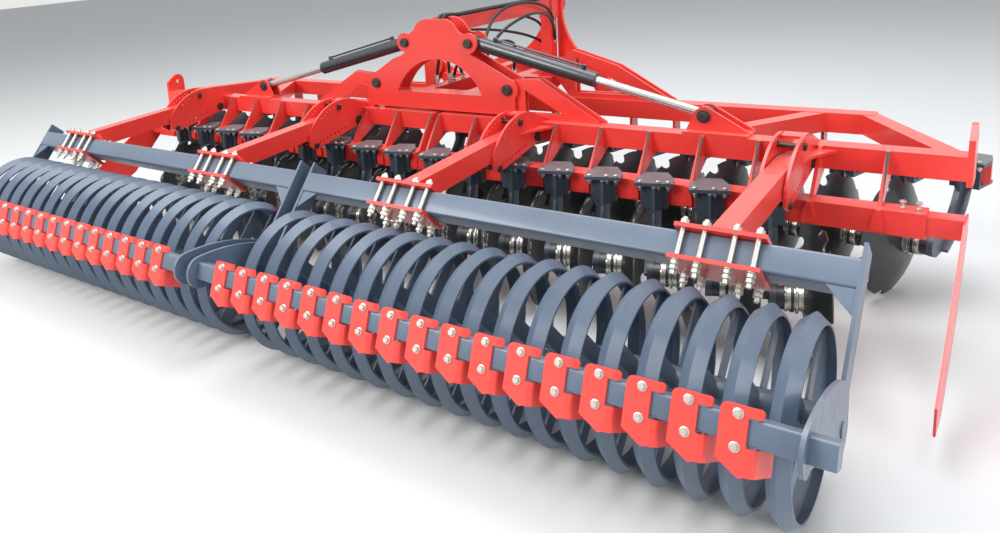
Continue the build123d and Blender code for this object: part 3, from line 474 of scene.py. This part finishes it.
clamp_bolt = with_parts(
    nut(0.0115, 0.623, 0.632),
    turned([(0.004, 0.584), (0.0065, 0.586), (0.0065, 0.607)], 16),
    nut(0.0115, 0.592, 0.6045),
    turned([(0.014, 0.6045), (0.014, 0.607)], 20),
)
disc_pitch, arm_turn, bolt_back, bolts_along = 0.25, np.radians(17), -0.108, (-0.062, 0.018, 0.062)
clamp_rows = (
    ("rear", "right", 1, 1.240, 0.110 + disc_pitch * np.arange(8)),
    ("rear", "left", 1, 1.240, -0.140 - disc_pitch * np.arange(9)),
    ("front", "right", -1, 2.100, 0.280 + disc_pitch * np.arange(10)),
    ("front", "left", -1, 2.100, -0.220 - disc_pitch * np.arange(9)),
)
for row, side, turn, ahead, clamp_x in clamp_rows:
    swing = arm_turn * turn
    spots = []
    for along in bolts_along:
        shift_x = along * np.cos(swing) - bolt_back * np.sin(swing)
        shift_y = along * np.sin(swing) + bolt_back * np.cos(swing)
        spots += [(x + shift_x, roller_axle_y + ahead + shift_y, 0) for x in clamp_x]
    bolts = set_at(clamp_bolt, spots, (0, 0, 1))
    make_piece(f"clamp_bolts_{row}_{side}", [bolts], zinc, f"wing_{side}")

# Bolts that hold the side plates' sliding tubes, two on top of each lower rear beam near its end.
# A long hexagon screw with a lock nut under its head.

slide_bolt = with_parts(
    turned([(0.008, -0.001), (0.008, 0.03)], 16),
    nut(0.0135, 0.0, 0.010),
    nut(0.0135, 0.024, 0.034),
)
rear_beam_y, lower_beam_top, slide_bolt_x = roller_axle_y + 1.24, 0.607, (2.355, 2.409)
for side, sign in sides:
    spots = [(sign * x, rear_beam_y, lower_beam_top) for x in slide_bolt_x]
    bolts = set_at(slide_bolt, spots, (0, 0, 1))
    make_piece(f"slide_bolts_{side}", [bolts], zinc, f"wing_{side}")

# Discs of black painted boron steel on plated hubs, free to turn on their arms.
# The dish is concave and notched; the hub is a turned sleeve with two bands and a taller flange at its seal.

disc_black = sprayed_steel("black_disc_paint", "1F2124", "26282B", 0.4, 0.25, dust_and_sheen=0.15)
finish_nodes(disc_black, "disc_rear", "disc_front")
turned_steel = plated_steel("turned_steel", "CFCDC6", 0.24)
hub_sleeve = turned(
    [
        (0.0485, -0.0700), (0.0535, -0.0700), (0.0545, -0.0685), (0.0545, -0.0570), (0.0500, -0.0560),
        (0.0500, -0.0520), (0.0545, -0.0510), (0.0545, -0.0385), (0.0500, -0.0375), (0.0500, -0.0300),
        (0.0610, -0.0285), (0.0615, -0.0270), (0.0615, -0.0215), (0.0605, -0.0200), (0.0505, -0.0190),
        (0.0505, -0.0060), (0.0560, -0.0050), (0.0560, -0.0015),
    ],
    48,
)
bolt_circle = 0.042
hub_bolts = [(bolt_circle * np.cos(a), bolt_circle * np.sin(a), 0) for a in np.arange(5) * 2 * np.pi / 5]
hub_face = with_parts(
    turned([(0.058, 0.006), (0.058, 0.010), (0.055, 0.012), (0.0, 0.012)], 40),
    set_at(nut(0.0115, 0.012, 0.020), hub_bolts, (0, 0, 1)),
    nut(0.019, 0.012, 0.026),
)
for joint in frame["record"]["behaviour"]["joints"]:
    if joint["name"].startswith("disc_"):
        hub = set_at(with_parts(hub_sleeve, hub_face), [joint["pos_m"]], joint["axis"])
        name = joint["child"].replace("_body", "")
        make_piece(f"hub_{name}", [hub], turned_steel, joint["child"])

# Folding cylinders: black barrels, hard chrome rods, and dark pins in the tower and the wings.
# The short hoses that the tower holds all the way are of black rubber with a faint grain.

barrel_black = sprayed_steel("black_barrel_paint", "2C3036", "24272C", 0.32, 0.5)
finish_nodes(barrel_black, "barrel")
chrome = plated_steel("hard_chrome", "F2F3F5", 0.12)
finish_nodes(chrome, "rod")
rubber = sprayed_steel("hose_rubber", "17181A", "1E1F21", 0.5, 0.0, grain=0.5)
finish_nodes(rubber, "hoses")
pin_black = sprayed_steel("blackened_pin", "2A2828", "37302C", 0.45, 0.1)


def finish_near(node, material, centres, axis, radius, keep=lambda along: True):
    """Gives the material to the CAD faces within a radius of lines along an axis, where keep allows them."""
    mesh = frame["nodes"][node].data
    mesh.materials.append(material)
    middles = np.zeros(len(mesh.polygons) * 3)
    mesh.polygons.foreach_get("center", middles)
    middles = middles.reshape(-1, 3)
    others = [i for i in range(3) if i != axis]
    near = np.zeros(len(middles), bool)
    for centre in centres:
        off = np.linalg.norm(middles[:, others] - np.array(centre)[others], axis=1)
        near |= (off < radius) & np.array([keep(value) for value in middles[:, axis] - centre[axis]])
    index = np.zeros(len(mesh.polygons), int)
    mesh.polygons.foreach_get("material_index", index)
    index[near] = len(mesh.materials) - 1
    mesh.polygons.foreach_set("material_index", index)


tower_rear_y, pin_radius, cap_depth = roller_axle_y + 1.428, 0.031, 0.012
pins = [(sign * x, tower_rear_y, z) for sign in (-1, 1) for x, z in ((0.464, 0.954), (0.223, 1.207))]
finish_near("tower", pin_black, pins, 1, pin_radius, lambda along: along < -0.0005)
pin_cap = turned(
    [(0.0255, 0), (0.0255, 0.004), (0.0235, 0.006), (0.0095, 0.006), (0.0080, 0.0045), (0.0, 0.0045)], 32
)
caps = [(x, y - cap_depth, z) for x, y, z in pins]
make_piece("tower_pin_caps", [set_at(pin_cap, caps, (0, -1, 0))], pin_black, "centre")
lug_cap = with_parts(
    turned([(0.032, 0), (0.032, 0.007), (0.030, 0.009), (0.0, 0.009)], 32),
    turned(
        [(0.021, 0.009), (0.021, 0.016), (0.019, 0.018), (0.007, 0.018), (0.006, 0.016), (0.0, 0.016)], 32
    ),
)
lug_x, lug_z, lug_half = 1.515, 0.878, 0.045
cylinder_y, rod_eye_radius = roller_axle_y + 1.49, 0.058
arm_pins, arm_bracket_half = ((1.345, 0.732, 0.027), (1.175, 0.842, 0.0185), (0.955, 0.655, 0.0185)), 0.0565


def outside_bracket(along):
    """Whether a place along a pin of an arm is outside its bracket's two cheeks."""
    return abs(along) > arm_bracket_half


for side, sign in sides:
    shapes = [
        set_at(lug_cap, [(sign * lug_x, cylinder_y + way * lug_half, lug_z)], (0, way, 0)) for way in (-1, 1)
    ]
    make_piece(f"lug_pins_{side}", shapes, pin_black, f"wing_{side}")
    finish_near(f"rod_{side}", barrel_black, [(sign * lug_x, cylinder_y, lug_z)], 1, rod_eye_radius)
    for x in arm_x:
        for ahead, height, radius in arm_pins:
            line = (sign * x, roller_axle_y + ahead, height)
            finish_near(f"wing_frame_{side}", pin_black, [line], 0, radius, outside_bracket)

# Hydraulic hoses between the headstock, the top of the tower and the frame's long tubes.
# Black rubber hoses on smooth curves, with crimped zinc sleeves and hexagons at their ends.


def hose(name, route, radius=0.0095):
    """A hose on a smooth curve led by the route's points; each is X, distance ahead of the axle, height."""
    places = [(x, roller_axle_y + ahead, z) for x, ahead, z in route]
    line = bpy.data.curves.new(name, "CURVE")
    line.dimensions = "3D"
    line.bevel_depth, line.bevel_resolution, line.resolution_u = radius, 5, 10
    spline = line.splines.new("NURBS")
    spline.points.add(len(places) - 1)
    for point, place in zip(spline.points, places):
        point.co = (*place, 1)
    spline.order_u, spline.use_endpoint_u = 3, True
    line.materials.append(rubber)
    piece = bpy.data.objects.new(name, line)
    bpy.context.scene.collection.objects.link(piece)
    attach(piece, "centre")
    both_ends = ((places[0], places[1]), (places[-1], places[-2]))
    return [set_at(hose_end, [here], np.subtract(there, here)) for here, there in both_ends]


hose_end = with_parts(
    nut(0.0150, -0.004, 0.014),
    turned([(0.0105, 0.014), (0.0105, 0.020), (0.0128, 0.022), (0.0128, 0.058), (0.0115, 0.060)], 24),
)
fittings = []
routes = (
    (1.49, [
        (0.17, 1.66, 0.914), (0.17, 1.66, 1.02), (0.15, 1.72, 1.20), (0.10, 1.95, 1.33),
        (0.09, 2.30, 1.36), (0.10, 2.60, 1.30), (0.045, 2.80, 1.20), (0.042, 2.80, 1.12),
    ]),
    (1.47, [
        (0.13, 1.72, 0.914), (0.13, 1.72, 1.05), (0.20, 1.80, 1.22), (0.25, 2.05, 1.30),
        (0.20, 2.35, 1.28), (0.12, 2.62, 1.22), (0.045, 2.82, 1.08), (0.042, 2.82, 1.02),
    ]),
    (1.45, [
        (-0.17, 1.66, 0.914), (-0.17, 1.66, 1.02), (-0.14, 1.74, 1.22), (-0.10, 1.98, 1.31),
        (-0.11, 2.30, 1.30), (-0.10, 2.60, 1.24), (-0.045, 2.80, 1.16), (-0.042, 2.80, 1.10),
    ]),
    (1.35, [
        (-0.13, 1.74, 0.914), (-0.13, 1.74, 1.04), (-0.22, 1.84, 1.18), (-0.24, 2.10, 1.20),
        (-0.18, 2.40, 1.16), (-0.10, 2.64, 1.10), (-0.045, 2.82, 1.02), (-0.042, 2.82, 0.98),
    ]),
    (0.56, [
        (0.16, 1.85, 0.914), (0.16, 1.85, 0.99), (0.02, 1.80, 1.08),
        (-0.12, 1.78, 1.06), (-0.15, 1.90, 0.98), (-0.15, 1.92, 0.914),
    ]),
    (0.98, [
        (0.18, 2.00, 0.914), (0.18, 2.00, 1.02), (0.26, 1.90, 1.16), (0.22, 1.70, 1.18),
        (0.04, 1.66, 1.10), (-0.14, 1.82, 1.00), (-0.17, 1.84, 0.914),
    ]),
)
for number, (length, route) in enumerate(routes, start=1):
    fittings += hose(f"hose_{number}", route)
make_piece("hose_fittings", fittings, zinc, "centre")

# Floor, light and camera: a pale studio floor under a broad soft sky, with three large lamps.
# The camera is the photograph's, as solved from points on pieces whose real size is standard.

floor_half = 40.0
floor_mesh = bpy.data.meshes.new("floor")
floor_mesh.from_pydata([(*corner, 0) for corner in square(floor_half)], [], [(0, 1, 2, 3)])
floor = bpy.data.objects.new("floor", floor_mesh)
bpy.context.scene.collection.objects.link(floor)
floor_paint = bpy.data.materials.new("pale_floor")
floor_paint.use_nodes = True
floor_shader = floor_paint.node_tree.nodes["Principled BSDF"]
floor_shader.inputs["Base Color"].default_value = linear("DADAD8")
floor_shader.inputs["Roughness"].default_value = 0.75
floor_mesh.materials.append(floor_paint)

world = bpy.data.worlds.new("soft_sky")
world.use_nodes = True
bpy.context.scene.world = world
tree = world.node_tree
tree.nodes.clear()
path = put(tree, "LightPath")
glossy, through = path.outputs["Is Glossy Ray"], path.outputs["Is Transmission Ray"]
mirrored = put(tree, "Math", {"operation": "MAXIMUM"}, _0=glossy, _1=through)
seen = put(tree, "Math", {"operation": "MAXIMUM"}, _0=path.outputs["Is Camera Ray"], _1=mirrored.outputs[0])
sky = put(tree, "Background", Color=linear("E4EAF2"), Strength=0.55)
backdrop = put(tree, "Background", Color=linear("E9E9E7"), Strength=1.0)
blend = put(tree, "MixShader", Fac=seen.outputs["Value"], _1=sky.outputs[0], _2=backdrop.outputs[0])
put(tree, "OutputWorld", Surface=blend.outputs[0])


def soft_lamp(name, spot, aim, size, watts, tint):
    """A square lamp at a spot, turned to face its aim."""
    lamp = bpy.data.lights.new(name, "AREA")
    lamp.size, lamp.energy, lamp.color = size, watts, linear(tint)[:3]
    holder = bpy.data.objects.new(name, lamp)
    holder.location = spot
    holder.rotation_euler = (Vector(aim) - Vector(spot)).to_track_quat("-Z", "Y").to_euler()
    bpy.context.scene.collection.objects.link(holder)


soft_lamp("rear_left_window", (-4.5, -8.0, 6.5), (0, -0.5, 0.4), 5.0, 900, "FFFDF8")
soft_lamp("overhead", (1.0, 0.5, 8.5), (0, 0, 0.3), 7.0, 750, "F6FAFF")
soft_lamp("right_fill", (8.0, -3.0, 3.5), (1.0, -0.5, 0.4), 4.0, 220, "FFFFFF")

camera_spot = (2.7486, roller_axle_y - 2.4004, 1.7851)
heading, tilt, lean = np.radians([39.59, 12.38, -4.51])
focal_pixels, picture_width, picture_height = 816.3, 1000, 533
middle_u, middle_v = 385.8, 123.9
lens = bpy.data.cameras.new("camera")
lens.sensor_width = 36.0
lens.lens = lens.sensor_width * focal_pixels / picture_width
lens.shift_x = (picture_width / 2 - middle_u) / picture_width
lens.shift_y = (middle_v - picture_height / 2) / picture_width
lens.clip_end = 200
camera = bpy.data.objects.new("camera", lens)
looking = Vector((-np.sin(heading) * np.cos(tilt), np.cos(heading) * np.cos(tilt), -np.sin(tilt)))
level_right = Vector((np.cos(heading), np.sin(heading), 0))
level_up = level_right.cross(looking)
right = level_right * np.cos(lean) + level_up * np.sin(lean)
up = level_up * np.cos(lean) - level_right * np.sin(lean)
facing = Matrix((right, up, -looking)).transposed().to_4x4()
camera.matrix_world = Matrix.Translation(camera_spot) @ facing
bpy.context.scene.collection.objects.link(camera)
bpy.context.scene.camera = camera
bpy.context.scene.view_settings.view_transform = "Standard"
